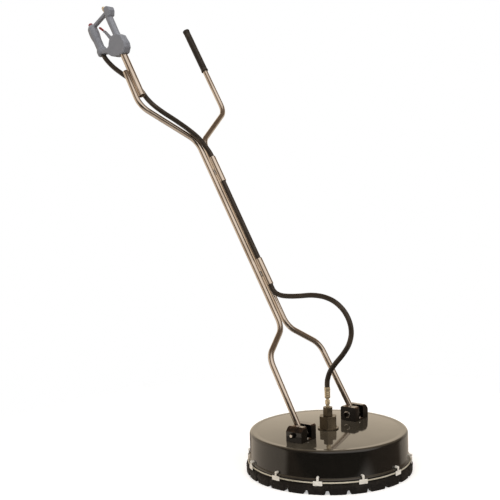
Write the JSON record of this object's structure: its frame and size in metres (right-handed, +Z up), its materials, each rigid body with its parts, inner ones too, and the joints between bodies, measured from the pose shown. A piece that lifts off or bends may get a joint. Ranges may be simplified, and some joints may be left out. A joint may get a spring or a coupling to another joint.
{
  "type": "rotary surface cleaner",
  "caption": "Rotary pressure surface cleaner: round black hood with a segmented rubber skirt, spinning spray bar, tall bent-tube handle on pivots, hose, swivel and trigger gun.",
  "frame": {"origin": "on the floor under the deck's axis", "axes": "+Z up, -Y towards the operator and +X to the operator's right; the handle leans back 29 degrees at rest"},
  "size_m": [0.536, 1.1169, 1.5572],
  "materials": {
    "deck_paint": "gloss",
    "block_black": "gloss",
    "skirt_rubber": "matte",
    "grip_rubber": "satin",
    "hose_rubber": "satin",
    "stainless": "satin polished",
    "bronze": "dark satin",
    "brass": "satin",
    "gun_grey": "matte",
    "red_plastic": "satin"
  },
  "bodies": {
    "deck": {"deck_shell": "deck_paint", "deck_plate": "stainless", "skirt": "skirt_rubber", "skirt_band": "stainless", "skirt_clip_01": "stainless", "skirt_clip_02": "stainless", "skirt_clip_03": "stainless", "skirt_clip_04": "stainless", "skirt_clip_05": "stainless", "skirt_clip_06": "stainless", "skirt_clip_07": "stainless", "skirt_clip_08": "stainless", "skirt_clip_09": "stainless", "skirt_clip_10": "stainless", "skirt_clip_11": "stainless", "skirt_clip_12": "stainless", "swivel_body": "bronze", "swivel_cap": "bronze", "swivel_nut": "stainless", "bearing_upper": "stainless", "bearing_lower": "stainless", "shaft_seal": "skirt_rubber", "hose_fitting_lower": "brass", "hose_ferrule_lower": "brass", "bracket_right": "block_black", "bracket_left": "block_black", "pivot_bolt_right": "stainless", "pivot_bolt_left": "stainless", "pivot_nut_right": "stainless", "pivot_nut_left": "stainless", "bracket_screw_right_rear": "stainless", "bracket_screw_left_rear": "stainless", "bracket_screw_right_front": "stainless", "bracket_screw_left_front": "stainless", "hose_loop": "hose_rubber"},
    "rotor": {"swivel_shaft": "stainless", "rotor_hub": "stainless", "rotor_arm_a": "stainless", "rotor_arm_b": "stainless", "nozzle_a": "brass", "nozzle_b": "brass"},
    "handle": {"handle_tube_right": "stainless", "handle_tube_left": "stainless", "grip": "grip_rubber", "hose_guide_lower": "stainless", "hose_guide_upper": "stainless", "guide_tie_lower": "stainless", "guide_tie_upper": "stainless", "hose_run": "hose_rubber", "hose_ferrule_upper": "brass", "gun_shell_outer": "gun_grey", "gun_shell_inner": "gun_grey", "gun_stub_tube": "stainless", "gun_inlet": "brass", "gun_valve": "brass", "barrel_plug": "red_plastic", "trigger_pin": "stainless"},
    "trigger": {"gun_trigger": "gun_grey"},
    "lock": {"trigger_lock": "red_plastic"}
  },
  "joints": [
    {"name": "rotor_spin", "type": "hinge", "parent": "deck", "child": "rotor", "pos_m": [0, 0, 0.078], "axis": [0, 0, 1], "continuous": true},
    {"name": "handle_tilt", "type": "hinge", "parent": "deck", "child": "handle", "pos_m": [0, 0, 0.15], "axis": [1, 0, 0], "range_deg": [-29, 34], "deforming": ["hose_loop"]},
    {"name": "trigger_squeeze", "type": "hinge", "parent": "handle", "child": "trigger", "pos_m": [0.198, -0.70053, 1.43442], "axis": [1, 0, 0], "range_deg": [-8, 0], "stiffness_Nm_per_rad": 0.8, "springref_deg": 14.32},
    {"name": "lock_swing", "type": "hinge", "parent": "trigger", "child": "lock", "pos_m": [0.198, -0.76878, 1.47091], "axis": [-1, 0, 0], "range_deg": [0, 55]}
  ]
}
